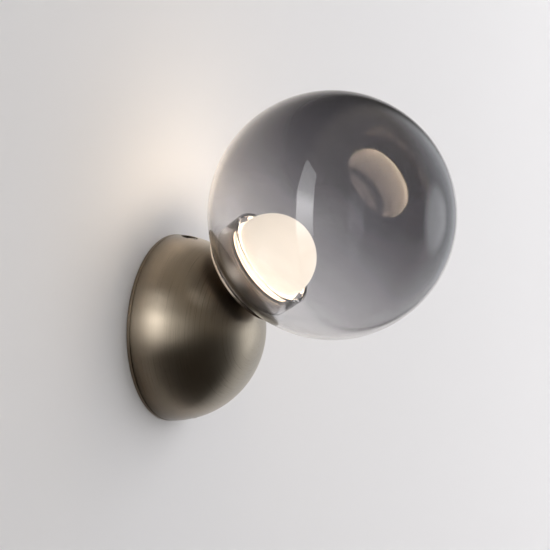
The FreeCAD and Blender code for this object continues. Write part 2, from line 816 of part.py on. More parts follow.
def notch_pocket(body):
    """Entry notch for one diffuser lug, cut down from the rim, a turn away from the lug."""
    sketch = sketch_on(body, "XY_Plane", "notch_sketch")
    turn = FreeCAD.Rotation(FreeCAD.Vector(0, 0, 1), size("unlock_angle"))
    sketch.AttachmentOffset = FreeCAD.Placement(FreeCAD.Vector(), turn)
    sketch.setExpression("AttachmentOffset.Rotation.Angle", spelled("unlock_angle"))
    sketch.setExpression("AttachmentOffset.Base.z", spelled("collar_height"))
    half = "(lug_half_width + 3 * lug_gap)"
    rectangle(sketch, f"-{half}", half, "rim_bore - collar_rim", "lug_edge + lug_gap")
    return feature(body, "Pocket", sketch, "notch", "groove_floor", backwards=False)


def board_screw_hole(body):
    """Tapped hole for one board screw."""
    sketch = sketch_on(body, "XY_Plane", "board_hole_sketch")
    sketch.setExpression("AttachmentOffset.Base.z", spelled("collar_height"))
    circle(sketch, "0", "board_screw_ring", "plate_hole")
    return feature(body, "Pocket", sketch, "board_hole", "board_seat + board_screw_length",
                   backwards=False)


def make_light_board():
    """Metal-core board with two wire holes and the clearance holes of its screws."""
    body = doc.addObject("PartDesign::Body", "board_body")
    disc = sketch_on(body, "XY_Plane", "board_sketch")
    circle(disc, "0", "0", "board_radius")
    feature(body, "Pad", disc, "board", "board_thickness")
    for side, sign in (("left", "-"), ("right", "")):
        pocket(
            body, f"{side}_wire_hole",
            lambda sketch: circle(sketch, f"{sign}board_lead_spacing", "0", "board_wire_hole"),
        )
    sketch = sketch_on(body, "XY_Plane", "clearance_sketch")
    circle(sketch, "0", "board_screw_ring", "small_screw_radius + slip_gap")
    hole = feature(body, "Pocket", sketch, "clearance_hole", None, backwards=True)
    repeat_round(body, hole, BOARD_SCREWS, "clearance_holes")
    node(on_arm(body, "rim_station - board_seat"), "led_board")


def ring_place(ring, count, index, start=0.0):
    """Expressions of a place on a ring about the arm axis."""
    angle = start + 360 / count * index
    return f"({ring}) * cos({angle})", f"({ring}) * sin({angle})"


def make_chips():
    """Light-emitting chips in two rings on the board."""
    chips = []
    for ring, count in (("outer_chip_ring", OUTER_CHIPS), ("inner_chip_ring", INNER_CHIPS)):
        for index in range(count):
            chip = part("Part::Box", f"{ring}_{index + 1}", Length="chip_side", Width="chip_side",
                        Height="chip_thickness")
            x, y = ring_place(ring, count, index, 90.0)
            on_arm(chip, "rim_station - board_top", f"{x} - chip_side / 2", f"{y} - chip_side / 2")
            chips.append(chip)
    group("led_chips", chips)


def make_board_screws():
    """Screws that clamp the light board to the heat sink."""
    screws = []
    for index in range(BOARD_SCREWS):
        body = pan_screw(f"board_screw_{index + 1}", "small_screw_radius", "small_screw_head",
                         "small_head_height", "board_thickness + board_screw_length")
        x, y = ring_place("board_screw_ring", BOARD_SCREWS, index, 90.0)
        screws.append(on_arm(body, "rim_station - board_top + small_head_height", x, y))
    group("board_screws", screws)


# ---------------------------------------------------------------- diffuser, gasket and globe

def make_diffuser():
    """Opal dome with a stepped skirt on the collar's rim and a lugged spigot inside it."""
    shoulder = "skirt_height"
    inside = "dome_radius - dome_wall"
    body = turned("diffuser_body", [
        ("spigot_bore", "-spigot_depth"),
        ("spigot_radius", "-spigot_depth"),
        ("spigot_radius", "0"),
        ("skirt_radius", "0"),
        ("skirt_radius", f"{shoulder} / 3"),
        ("dome_radius + skirt_step", f"{shoulder} / 3"),
        ("dome_radius + skirt_step", f"{shoulder} * 2 / 3"),
        ("dome_radius", f"{shoulder} * 2 / 3"),
        ("dome_radius", shoulder, "0", shoulder),
        ("0", f"{shoulder} + dome_radius"),
        ("0", f"{shoulder} + {inside}", "0", shoulder),
        (inside, shoulder),
        (inside, "dome_wall"),
        ("spigot_bore", "0"),
    ])
    sketch = sketch_on(body, "XY_Plane", "lug_sketch")
    sketch.setExpression("AttachmentOffset.Base.z",
                         spelled("-groove_ceiling - lug_thickness - lug_gap"))
    rectangle(sketch, "-lug_half_width", "lug_half_width", "spigot_radius - dome_wall / 2", "lug_edge")
    lug = feature(body, "Pad", sketch, "lug", "lug_thickness")
    repeat_round(body, lug, DIFFUSER_LUGS, "lugs")
    node(on_arm(body, "rim_station"), "opal_diffuser")


def make_gasket():
    """Silicone ring between the collar's flange and the globe's lip."""
    body = ring_piece("gasket_body", "collar_radius + gasket_inset", "flange_radius - gasket_inset",
                      "gasket_thickness")
    node(on_arm(body, "gasket_station"), "globe_gasket")


def make_globe():
    """Smoked glass ball whose mouth folds back inside as a straight neck."""
    bore = "glass_neck_bore"
    half = "glass_wall / 2"
    end = "glass_neck_length"
    centre = "globe_centre"
    middle = f"{bore} + {half}"
    outer = "lip_radius"
    body = turned("globe_body", [
        (bore, "lip_round"),
        (bore, f"{end} - {half}", middle, f"{end} - {half}"),
        (middle, end, middle, f"{end} - {half}"),
        (outer, f"{end} - {half}"),
        (outer, f"{centre} - sqrt(globe_cavity^2 - ({outer})^2)", "0", centre),
        ("globe_cavity", centre, "0", centre),
        ("0", f"{centre} + globe_cavity"),
        ("0", f"{centre} + globe_radius", "0", centre),
        ("globe_radius", centre, "0", centre),
        (f"sqrt(globe_radius^2 - ({centre} - lip_round)^2)", "lip_round"),
        (outer, "0"),
        (f"{bore} + lip_round", "0", f"{bore} + lip_round", "lip_round"),
    ])
    node(on_arm(body, "lip_station"), "glass_globe")


# ---------------------------------------------------------------- leads

def spot(x, up, out):
    """Point at a place on the wall: across, up and out."""
    return FreeCAD.Vector(x, -out, up)


def arm_spot(station, x):
    """Point beside the arm axis."""
    tilt = math.radians(size("arm_tilt"))
    return FreeCAD.Vector(x, -station * math.cos(tilt), station * math.sin(tilt))


def lead(name, route, radius):
    """Round lead along straight runs joined by tangent arcs."""
    edges = []
    start = route[0]
    bends = []
    for before, corner, after in zip(route, route[1:], route[2:]):
        inward = corner - before
        outward = after - corner
        turn = inward.getAngle(outward)
        reach = BEND_SHARE * min(inward.Length, outward.Length)
        bend = reach / math.tan(turn / 2)
        inward.normalize()
        outward.normalize()
        towards = (outward - inward).normalize()
        middle = corner + towards * (bend / math.cos(turn / 2) - bend)
        arc_start = corner - inward * reach
        arc_end = corner + outward * reach
        edges.append(Part.LineSegment(start, arc_start).toShape())
        edges.append(Part.Arc(arc_start, middle, arc_end).toShape())
        start = arc_end
        bends.append(round(bend, 1))
    edges.append(Part.LineSegment(start, route[-1]).toShape())
    path = Part.Wire(edges)
    section = Part.Wire(Part.Circle(route[0], route[1] - route[0], radius).toShape())
    solid = path.makePipeShell([section], True, False)
    share = solid.Volume / (math.pi * radius ** 2 * path.Length)
    print(name, "bend radii", bends, "volume share", round(share, 4))
    piece = doc.addObject("Part::Feature", name)
    piece.Shape = solid
    piece.Placement = FreeCAD.Placement()
    node(piece, name)


def make_leads():
    """Leads from the terminal block to the driver, the earth point and the light board."""
    mains = size("mains_lead_radius")
    end = size("lead_end")
    fall = size("lead_fall")
    belly = size("lead_belly")
    sway = size("lead_sway")
    block_foot = size("block_up - block_depth / 2")
    pole_out = size("bracket_thickness + pole_height")
    pitch = size("pole_pitch")
    driver_top = -size("driver_head")
    gland_out = size("bracket_thickness + driver_height / 2")
    for name, pole, gland in (("live_lead", 0, "live_gland"), ("neutral_lead", pitch, "neutral_gland")):
        exit_across = size(gland)
        lead(name, [
            spot(pole, block_foot + end, pole_out),
            spot(pole, block_foot - end, pole_out),
            spot(pole + 2 * sway, block_foot - end - fall, pole_out + belly),
            spot(exit_across - sway, driver_top + end + fall - sway, gland_out + end),
            spot(exit_across, driver_top + end, gland_out),
            spot(exit_across, driver_top, gland_out),
        ], mains)
    earth_out = size("bracket_thickness + 2 * ring_terminal_thickness") + mains
    earth_foot = size("earth_up + ring_terminal_radius")
    across = -size("earth_across")
    lead("earth_lead", [
        spot(-pitch, block_foot + end, pole_out),
        spot(-pitch, block_foot - end / 2, pole_out),
        spot(across, earth_foot + belly, pole_out - sway),
        spot(across, earth_foot, earth_out),
    ], mains)
    thin = size("board_lead_radius")
    spacing = size("board_lead_spacing")
    mouth = size("tube_start")
    board_end = size("rim_station - board_top") + thin
    for name, side, gland in (
        ("positive_lead", -spacing, "positive_gland"), ("negative_lead", spacing, "negative_gland"),
    ):
        exit_across = -size(gland)
        lead(name, [
            spot(exit_across, driver_top, gland_out),
            spot(exit_across, driver_top + belly, gland_out),
            spot(exit_across, driver_top + 3 * end, gland_out + belly),
            arm_spot(mouth - 2 * belly, side) + spot(0, -2 * sway, 0),
            arm_spot(mouth - sway, side),
            arm_spot(board_end, side),
        ], thin)


# ---------------------------------------------------------------- the whole sconce

def check_model():
    """Stop at any object that failed or any piece whose shape is unusable."""
    for thing in doc.Objects:
        if "Invalid" in thing.State or "Error" in thing.State:
            raise RuntimeError(f"{thing.Name} failed to build")
    for piece in nodes:
        if piece.Shape.isNull() or not piece.Shape.isValid():
            raise RuntimeError(f"{piece.Label} has no valid shape")


def write_pieces():
    """Write each piece to its own file."""
    os.makedirs("parts", exist_ok=True)
    for piece in nodes:
        piece.Shape.exportStep(f"parts/{piece.Label}.step")
        print(piece.Label, len(piece.Shape.Solids), "solid(s)", round(piece.Shape.Volume, 1), "mm3")


sheet = make_sheet()
make_bracket()
make_cable_bush()
make_terminal_block()
make_terminal_sleeves()
make_clamp_screws()
make_block_screw()
make_driver()
make_driver_screws()
make_earth_point()
make_canopy()
make_canopy_screws()
make_neck()
make_threaded_tube()
make_collar()
make_light_board()
make_chips()
make_board_screws()
make_diffuser()
make_gasket()
make_globe()
make_leads()
doc.recompute()
check_model()
write_pieces()
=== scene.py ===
import bmesh
import bpy
import json
import math
from mathutils import Matrix, Vector


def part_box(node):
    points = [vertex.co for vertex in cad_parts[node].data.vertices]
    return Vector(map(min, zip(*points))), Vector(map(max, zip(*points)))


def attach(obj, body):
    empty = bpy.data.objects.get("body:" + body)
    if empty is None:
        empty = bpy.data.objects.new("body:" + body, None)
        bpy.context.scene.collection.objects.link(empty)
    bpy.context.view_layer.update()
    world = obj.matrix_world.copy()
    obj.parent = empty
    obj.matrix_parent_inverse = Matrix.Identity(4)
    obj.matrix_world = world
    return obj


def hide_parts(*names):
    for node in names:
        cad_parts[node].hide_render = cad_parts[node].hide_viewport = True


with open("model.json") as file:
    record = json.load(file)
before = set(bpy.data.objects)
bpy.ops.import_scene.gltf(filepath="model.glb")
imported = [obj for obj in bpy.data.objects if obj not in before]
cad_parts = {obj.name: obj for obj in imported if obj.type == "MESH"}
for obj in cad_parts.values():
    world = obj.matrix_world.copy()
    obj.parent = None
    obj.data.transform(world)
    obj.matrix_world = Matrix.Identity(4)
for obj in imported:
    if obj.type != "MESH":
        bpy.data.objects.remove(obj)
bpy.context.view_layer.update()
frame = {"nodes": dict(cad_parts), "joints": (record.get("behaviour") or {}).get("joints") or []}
nodes = frame["nodes"]
mm = 0.001


# ------------------------------------------------------------ wall bracket, bush and steel screws
# A zinc plated plate, pressed from 2 mm steel with two ears, is screwed to the wall. A black
# snap-in bush lines its cable hole. The fasteners on it and behind the globe are zinc plated too.

class Grain:
    """One socket of a material's nodes, on which arithmetic adds Math nodes."""

    def __init__(self, tree, socket=None):
        self.tree = tree
        self.socket = socket

    def node(self, kind, settings=None, sockets=None, out=0):
        """Add a node: its settings, then the values or links of its sockets."""
        made = self.tree.nodes.new(kind)
        for name, setting in (settings or {}).items():
            if name == "stops":
                set_stops(made.color_ramp.elements, setting)
            else:
                setattr(made, name, setting)
        for name, value in (sockets or {}).items():
            if isinstance(value, Grain):
                self.tree.links.new(value.socket, made.inputs[name])
            else:
                made.inputs[name].default_value = value
        return Grain(self.tree, made.outputs[out])

    def maths(self, operation, *others):
        """Math node that works on this socket and others."""
        sockets = dict(enumerate((self, *others)))
        return self.node("ShaderNodeMath", {"operation": operation}, sockets)

    def mix(self, first, second, blend="MIX"):
        """Colour between two colours, with this socket as the share of the second.

        The colours of a Mix node are its sockets 6 and 7, and its output 2.
        """
        settings = {"data_type": "RGBA", "blend_type": blend}
        return self.node("ShaderNodeMix", settings, {0: self, 6: first, 7: second}, out=2)

    def __add__(self, other):
        return self.maths("ADD", other)

    def __sub__(self, other):
        return self.maths("SUBTRACT", other)

    def __rsub__(self, other):
        return self.node("ShaderNodeMath", {"operation": "SUBTRACT"}, {0: other, 1: self})

    def __mul__(self, other):
        return self.maths("MULTIPLY", other)

    def __truediv__(self, other):
        return self.maths("DIVIDE", other)

    def __lt__(self, other):
        return self.maths("LESS_THAN", other)

    def __gt__(self, other):
        return self.maths("GREATER_THAN", other)

    __radd__ = __add__
    __rmul__ = __mul__


def set_stops(elements, stops):
    """Give a ramp its stops, each a place and a grey or a colour."""
    while len(elements) < len(stops):
        elements.new(0.5)
    for element, (place, colour) in zip(elements, stops):
        grey = isinstance(colour, float)
        element.position = place
        element.color = (colour, colour, colour, 1) if grey else colour


def new_finish(name, constants):
    """Start a material. Returns it, its shader and its object coordinates."""
    material = bpy.data.materials.new(name)
    material.use_nodes = True
    tree = material.node_tree
    shader = tree.nodes["Principled BSDF"]
    for socket, value in constants.items():
        shader.inputs[socket].default_value = value
    place = Grain(tree).node("ShaderNodeTexCoord", out="Object")
    return material, shader, place


def wear(shader, sockets):
    """Feed what changes over the surface to the shader."""
    for name, value in sockets.items():
        value.tree.links.new(value.socket, shader.inputs[name])


def noise(place, scale, detail=3.0, roughness=0.5):
    """Cloudy value from 0 to 1, about 0.5 on average."""
    sockets = {"Vector": place, "Scale": scale, "Detail": detail, "Roughness": roughness}
    return place.node("ShaderNodeTexNoise", {}, sockets)


def bump(height, distance):
    """Normal of a surface that rises by a distance where the height is 1."""
    sockets = {"Height": height, "Distance": distance, "Strength": 1.0}
    return height.node("ShaderNodeBump", {}, sockets)


def plated(name, dark, light, roughness):
    """Plated metal: clouded colour, uneven gloss and a faint grain."""
    material, shader, place = new_finish(name, {"Metallic": 1.0})
    cloud = noise(place, 160.0)
    grain = noise(place, 2600.0)
    wear(shader, {
        "Base Color": cloud.mix(dark, light),
        "Roughness": roughness + 0.16 * (grain - 0.5) + 0.1 * (cloud - 0.5),
        "Normal": bump(grain, 0.02 * mm),
    })
    return material


def moulded(name, dark, light, roughness):
    """Moulded plastic or rubber: a fine spark-eroded grain and slightly uneven colour."""
    material, shader, place = new_finish(name, {"Specular IOR Level": 0.45})
    cloud = noise(place, 90.0)
    grain = noise(place, 3800.0, detail=2.0)
    wear(shader, {
        "Base Color": cloud.mix(dark, light),
        "Roughness": roughness + 0.14 * (grain - 0.5),
        "Normal": bump(grain, 0.03 * mm),
    })
    return material


def dress(material, *names):
    """Give CAD nodes a material."""
    for name in names:
        nodes[name].data.materials.clear()
        nodes[name].data.materials.append(material)


zinc = plated("zinc_plated_steel", (0.50, 0.51, 0.50, 1), (0.70, 0.70, 0.66, 1), 0.36)
dress(zinc, "wall_bracket", "terminal_screws", "block_screw", "driver_screws", "earth_washer",
      "threaded_tube", "tube_washer", "canopy_nut", "collar_nut", "board_screws")
dress(moulded("black_bush", (0.018, 0.018, 0.019, 1), (0.035, 0.035, 0.036, 1), 0.5), "cable_bush")


# ------------------------------------------------------------ terminal block, driver and leads
# A white moulded block with brass sleeves joins the supply to a potted driver, screwed to the
# plate by its tabs. Round insulated leads run between them, to the earth point and to the board.

brass = plated("turned_brass", (0.58, 0.42, 0.17, 1), (0.80, 0.63, 0.32, 1), 0.26)
tinned = plated("tinned_copper", (0.58, 0.53, 0.46, 1), (0.80, 0.77, 0.72, 1), 0.34)
dress(brass, "terminal_sleeves", "earth_screw")
dress(tinned, "earth_ring_terminal")
dress(moulded("white_block", (0.70, 0.69, 0.64, 1), (0.86, 0.85, 0.81, 1), 0.42), "terminal_block")
dress(moulded("driver_case", (0.62, 0.63, 0.63, 1), (0.78, 0.79, 0.79, 1), 0.5), "led_driver")

lead_colours = {
    "live_lead": (0.25, 0.11, 0.05),
    "neutral_lead": (0.05, 0.18, 0.50),
    "positive_lead": (0.55, 0.04, 0.03),
    "negative_lead": (0.02, 0.02, 0.02),
}
for lead, colour in lead_colours.items():
    shade = (*(0.75 * share for share in colour), 1)
    dress(moulded(f"{lead}_insulation", shade, (*colour, 1), 0.45), lead)


def coordinates(place):
    """X, Y and Z of a place, each a socket of its own."""
    split = place.node("ShaderNodeSeparateXYZ", {}, {0: place})
    return [Grain(split.tree, socket) for socket in split.socket.node.outputs]


def earth_insulation():
    """Green insulation with a yellow stripe along it."""
    stripes_per_metre = 900
    material, shader, place = new_finish("earth_lead_insulation", {"Specular IOR Level": 0.45})
    stripe = noise(place, 40.0) + stripes_per_metre * coordinates(place)[1]
    band = stripe.maths("PINGPONG", 1.0) > 0.5
    grain = noise(place, 3800.0)
    wear(shader, {
        "Base Color": band.mix((0.12, 0.42, 0.06, 1), (0.80, 0.72, 0.08, 1)),
        "Roughness": 0.42 + 0.12 * grain,
        "Normal": bump(grain, 0.02 * mm),
    })
    return material


dress(earth_insulation(), "earth_lead")


# ------------------------------------------------------------ canopy
# Half a ball spun from 2.2 mm brass, brushed in circles about its middle and bronzed. A narrow
# turned band and groove run round its mouth, which meets the wall, and two screws sink into it.

canopy_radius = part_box("canopy_dome")[1].x
canopy_wall = 2.2 * mm
canopy_inside = canopy_radius - canopy_wall
rim_foot = 0.4 * mm
rim_band = 2.1 * mm
rim_groove = 0.45 * mm
rim_chamfer = 0.5 * mm
# Reach of the painted shade out from the wall, then where the painted shade towards the bottom
# starts and ends.
wall_shade_start, wall_shade_end = 2.5 * mm, 34 * mm
shade_start, shade_end = 10 * mm, -35 * mm
mouth_edge = 4 * mm
arm_axis = Vector(frame["joints"][0]["axis"])
neck_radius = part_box("neck")[1].x
neck_station = math.sqrt(canopy_radius ** 2 - neck_radius ** 2)
tube_clearance = 5.2 * mm
screw_out = 12.8 * mm
screw_hole = 2.2 * mm
screw_sink = 5.5 * mm
screw_point = 0.1 * mm
hole_start = 0.8
screw_seat = math.sqrt(canopy_radius ** 2 - screw_out ** 2)


def arc(centre, radius, start, end, steps):
    """Points of an arc in (radius, height), with angles in degrees from the radius."""
    for step in range(steps + 1):
        angle = math.radians(start + (end - start) * step / steps)
        yield centre[0] + radius * math.cos(angle), centre[1] + radius * math.sin(angle)


def lathe(name, profile, sides=256):
    """Turn a closed outline of (radius, height) points about Z. Edges over 32 degrees stay sharp."""
    on_axis = 0.0001 * mm
    shape = bmesh.new()
    rings = []
    for radius, height in profile:
        if radius < on_axis:
            rings.append([shape.verts.new((0, 0, height))])
            continue
        angles = [2 * math.pi * side / sides for side in range(sides)]
        spots = [(radius * math.cos(a), radius * math.sin(a), height) for a in angles]
        rings.append([shape.verts.new(spot) for spot in spots])
    for ring, after in zip(rings, rings[1:] + rings[:1]):
        if len(ring) == len(after) == 1:
            continue
        for side in range(sides):
            corners = [ring[side % len(ring)], ring[(side + 1) % len(ring)],
                       after[(side + 1) % len(after)], after[side % len(after)]]
            shape.faces.new(list(dict.fromkeys(corners)))
    bmesh.ops.recalc_face_normals(shape, faces=shape.faces)
    mesh = bpy.data.meshes.new(name)
    shape.to_mesh(mesh)
    shape.free()
    mesh.polygons.foreach_set("use_smooth", [True] * len(mesh.polygons))
    mesh.set_sharp_from_angle(angle=math.radians(32))
    piece = bpy.data.objects.new(name, mesh)
    bpy.context.scene.collection.objects.link(piece)
    return piece


def stand(piece, axis, material):
    """Turn a piece's own Z to an axis of the sconce and give it a material."""
    tilt = math.atan2(axis.z, -axis.y)
    piece.rotation_euler = (math.pi / 2 - tilt, 0, 0)
    piece.data.materials.append(material)
    bpy.context.view_layer.update()


def drill(foot, foot_radius, top, top_radius):
    """Cone or cylinder that cuts a hole from foot to top."""
    shape = bmesh.new()
    bmesh.ops.create_cone(shape, cap_ends=True, segments=96, radius1=foot_radius,
                          radius2=top_radius, depth=(top - foot).length)
    mesh = bpy.data.meshes.new("cutter")
    shape.to_mesh(mesh)
    shape.free()
    cutter = bpy.data.objects.new("cutter", mesh)
    bpy.context.scene.collection.objects.link(cutter)
    turn = (top - foot).to_track_quat("Z", "Y").to_matrix().to_4x4()
    cutter.matrix_world = Matrix.Translation((foot + top) / 2) @ turn
    return cutter


def bore(piece, cutters):
    """Cut holes in a piece."""
    for cutter in cutters:
        hole = piece.modifiers.new("hole", "BOOLEAN")
        hole.object = cutter
        hole.solver = "EXACT"
    bpy.context.view_layer.update()
    graph = bpy.context.evaluated_depsgraph_get()
    cut = bpy.data.meshes.new_from_object(piece.evaluated_get(graph))
    cut.name = piece.name
    piece.modifiers.clear()
    piece.data = cut
    for cutter in cutters:
        bpy.data.objects.remove(cutter)


def true_ball(piece, radii):
    """Give faces on a ball about the piece's origin the ball's own normals."""
    tolerance = 0.02 * mm
    mesh = piece.data
    normals = [(0, 0, 0)] * len(mesh.loops)
    for face in mesh.polygons:
        lengths = [mesh.vertices[corner].co.length for corner in face.vertices]
        for radius in radii:
            if all(abs(length - radius) < tolerance for length in lengths):
                for loop in face.loop_indices:
                    spot = mesh.vertices[mesh.loops[loop].vertex_index].co.normalized()
                    normals[loop] = spot * math.copysign(1, spot.dot(face.normal))
    mesh.normals_split_custom_set(normals)


def ease(value, start, end, low=0.0, high=1.0):
    """Go softly from low to high while a value goes from start to end."""
    sockets = {"Value": value, "From Min": start, "From Max": end, "To Min": low, "To Max": high}
    return value.node("ShaderNodeMapRange", {"interpolation_type": "SMOOTHSTEP"}, sockets)


def circles(across, x, y, radius, wander):
    """Place that runs fast across circles about Z and slowly, by its wander, round them."""
    sockets = {0: across, 1: wander * x / radius, 2: wander * y / radius}
    return across.node("ShaderNodeCombineXYZ", {}, sockets)


def brushed_bronze():
    """Bronzed brass brushed in circles, with painted shade near the wall, below and in its holes and
    hollow.
    """
    constants = {"Metallic": 1.0, "Anisotropic": 0.72, "Anisotropic Rotation": 0.25}
    brush_lines = 420
    hole_edge = canopy_radius - 0.2 * mm
    material, shader, place = new_finish("brushed_bronze", constants)
    x, y, out = coordinates(place)
    radius = (x * x + y * y).maths("SQRT")
    polar = radius.maths("ARCTAN2", out)
    scratch = noise(circles(brush_lines * polar, x, y, radius, 0.7), 1.0, roughness=0.6)
    cloud = noise(place, 22.0, detail=4.0)
    tone = (0.6 * scratch + 0.4 * cloud).mix((0.22, 0.185, 0.14, 1), (0.42, 0.37, 0.30, 1))
    # Painted shade: the bronze is darkened near the wall, and more so towards the bottom.
    wall_shade = ease(out, wall_shade_start, wall_shade_end, low=1.0, high=0.0)
    lower_shade = ease(y, shade_start, shade_end, low=0.35, high=0.85)
    shaded_tone = (wall_shade * lower_shade).mix(tone, (0.08, 0.06, 0.04, 1))
    bare = ((out < rim_band) * (out > rim_foot)).mix(shaded_tone, (0.27, 0.225, 0.175, 1))
    # Painted shade: all below the outer ball, the screw countersinks, the holes and the inside of
    # the canopy, is painted near black.
    depth = (radius * radius + out * out).maths("SQRT")
    hollow_shade = (depth < hole_edge) * (out > mouth_edge)
    wear(shader, {
        "Base Color": hollow_shade.mix(bare, (0.025, 0.018, 0.012, 1)),
        "Roughness": 0.30 + 0.14 * (scratch - 0.5) + 0.05 * (cloud - 0.5),
        "Normal": bump(scratch, 0.006 * mm),
    })
    return material


def canopy_profile():
    """Wall thickness of the half ball, from the mouth to the crown and back inside."""
    groove_top = rim_band + 2 * rim_groove
    edge = math.degrees(math.asin(groove_top / canopy_radius))
    yield from [(canopy_inside, 0), (canopy_radius - rim_chamfer, 0)]
    yield from arc((canopy_radius - rim_chamfer, rim_chamfer), rim_chamfer, -60, 0, 5)
    yield from [(canopy_radius, rim_band), (canopy_radius - rim_groove, rim_band + rim_groove)]
    yield from arc((0, 0), canopy_radius, edge, 90, 110)
    yield from arc((0, 0), canopy_inside, 90, 1, 80)


canopy = lathe("canopy_shell", canopy_profile(), sides=320)
stand(canopy, Vector((0, -1, 0)), brushed_bronze())
seat = arm_axis * neck_station
seat_far = arm_axis * (neck_station + canopy_radius)
cutters = [drill(seat, neck_radius, seat_far, neck_radius),
           drill(seat / 2, tube_clearance, seat_far, tube_clearance)]
for side in (1, -1):
    apex = Vector((0, -screw_out, side * (screw_seat - screw_sink)))
    face = Vector((0, -screw_out, side * (screw_seat + canopy_wall)))
    cutters.append(drill(apex, screw_point, face, screw_sink + canopy_wall))
    cutters.append(drill(apex * hole_start, screw_hole, face, screw_hole))
bore(canopy, cutters)
true_ball(canopy, (canopy_radius, canopy_inside))
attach(canopy, "wall_base")
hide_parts("canopy_dome")


# ------------------------------------------------------------ canopy screws and neck
# Two countersunk bronze plated screws hold the canopy to the ears of the plate. The neck is
# turned from blackened bronze and stands between the canopy and the collar.

screw_bronze = plated("screw_bronze", (0.30, 0.24, 0.17, 1), (0.52, 0.45, 0.36, 1), 0.30)
dark_bronze = plated("dark_bronze", (0.11, 0.078, 0.052, 1), (0.18, 0.13, 0.092, 1), 0.34)
dress(screw_bronze, "canopy_screws")
dress(dark_bronze, "neck")


# ------------------------------------------------------------ heat sink collar and light board
# A turned aluminium collar, anodised brown-grey, with rounded thread rings outside and a recess
# for the light board. White solder mask and yellow phosphor chips shine inside the diffuser.

collar_station = 60.5 * mm
collar_length = 16.5 * mm
flange_radius = 32 * mm
flange_thickness = 1.6 * mm
flange_chamfer = 0.5 * mm
thread_root = 28.3 * mm
thread_crest = 29.4 * mm
thread_start = 3.0 * mm
thread_foot = collar_station + 2.6 * mm
thread_pitch = 1.5 * mm
thread_rings = 8
thread_fill = 0.9
spigot_bore = 25.5 * mm
board_seat = 11.9 * mm
nut_pocket = 9.8 * mm
nut_seat = 3.6 * mm


def turned_collar():
    """Anodised aluminium with the fine circles that the lathe tool leaves, and painted shade in its
    thread roots.
    """
    tool_lines = 1500
    material, shader, place = new_finish("collar_metal", {"Metallic": 1.0})
    x, y, height = coordinates(place)
    radius = (x * x + y * y).maths("SQRT")
    rings = noise(circles(tool_lines * (height + radius), x, y, radius, 0.8), 1.0)
    rings = ease(rings, 0.40, 0.60)
    cloud = noise(place, 60.0)
    flange = radius > flange_radius - 0.3 * mm
    threaded = (radius > thread_root - 0.1 * mm) * (height > thread_foot)
    # Painted shade: the thread rings are near black in their roots and lighten towards their crests.
    crest = ease(radius, thread_root + 0.5 * mm, thread_crest - 0.05 * mm)
    turned = rings.mix((0.06, 0.048, 0.046, 1), (0.55, 0.49, 0.45, 1))
    shaded_ribs = crest.mix((0.02, 0.016, 0.015, 1), (0.52, 0.46, 0.42, 1))
    wear(shader, {
        "Base Color": flange.mix(threaded.mix(turned, shaded_ribs), (0.66, 0.58, 0.49, 1)),
        "Roughness": 0.17 + 0.06 * (rings - 0.5) + 0.05 * cloud,
        "Normal": bump(rings, 0.02 * mm),
    })
    return material


def collar_profile():
    """Section of the collar: flange, fine rounded thread rings, spigot bore and board recess."""
    yield from [(tube_clearance, 0), (flange_radius - flange_chamfer, 0)]
    yield from [(flange_radius, flange_chamfer), (flange_radius, flange_thickness)]
    yield thread_root, flange_thickness
    half = thread_pitch / 2
    steps = 8
    for ring in range(thread_rings):
        middle = thread_start + half + ring * thread_pitch
        for step in range(steps + 1):
            sweep = math.pi * (step / steps - 0.5)
            swell = (thread_crest - thread_root) * math.cos(sweep)
            yield thread_root + swell, middle + thread_fill * half * math.sin(sweep)
    yield from [(thread_root, collar_length), (spigot_bore, collar_length)]
    yield from [(spigot_bore, board_seat), (nut_pocket, board_seat)]
    yield from [(nut_pocket, nut_seat), (tube_clearance, nut_seat)]


collar = lathe("collar_turned", collar_profile())
for corner in collar.data.vertices:
    corner.co.z += collar_station
stand(collar, arm_axis, turned_collar())
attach(collar, "wall_base")
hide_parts("heat_sink_collar")
dress(moulded("white_solder_mask", (0.80, 0.80, 0.77, 1), (0.93, 0.93, 0.91, 1), 0.35), "led_board")


def phosphor():
    """Yellow phosphor under clear resin, lit."""
    constants = {"Roughness": 0.2, "Emission Strength": 2.0}
    material, shader, place = new_finish("chip_phosphor", constants)
    cloud = noise(place, 900.0)
    wear(shader, {
        "Base Color": cloud.mix((0.85, 0.70, 0.22, 1), (0.95, 0.86, 0.40, 1)),
        "Emission Color": cloud.mix((1.0, 0.84, 0.58, 1), (1.0, 0.90, 0.70, 1)),
    })
    return material


dress(phosphor(), "led_chips")


# ------------------------------------------------------------ opal diffuser
# A dome moulded in opal acrylic, satin outside. Its stepped skirt stands on the collar's rim
# and three lugs on the spigot inside lock it with a twist.

skirt_foot = 77 * mm
dome_top = 117 * mm


def along(place, axis):
    """How far a place lies along an axis."""
    sockets = {0: place, 1: tuple(axis)}
    return place.node("ShaderNodeVectorMath", {"operation": "DOT_PRODUCT"}, sockets, out="Value")


def way(value, start, end):
    """Share of the way from start to end that a value has gone."""
    return value.node("ShaderNodeMapRange", {}, {"Value": value, "From Min": start, "From Max": end})


def ramp(share, stops):
    """Colour that a share has on a ramp."""
    return share.node("ShaderNodeValToRGB", {"stops": stops}, {"Fac": share})


def bounced(place, depth):
    """One for rays that have bounced in the way that a ray depth counts, nothing for others."""
    return place.node("ShaderNodeLightPath", out=depth) > 0.5


def let_through(place, shader, share, grey=1.0):
    """Make a share of the surface clear, tinted by a grey."""
    clear = place.node("ShaderNodeBsdfTransparent", {}, {"Color": (grey, grey, grey, 1)})
    mixer = place.node("ShaderNodeMixShader", {}, {
        0: share, 1: Grain(place.tree, shader.outputs[0]), 2: clear})
    place.tree.links.new(mixer.socket, place.tree.nodes["Material Output"].inputs["Surface"])


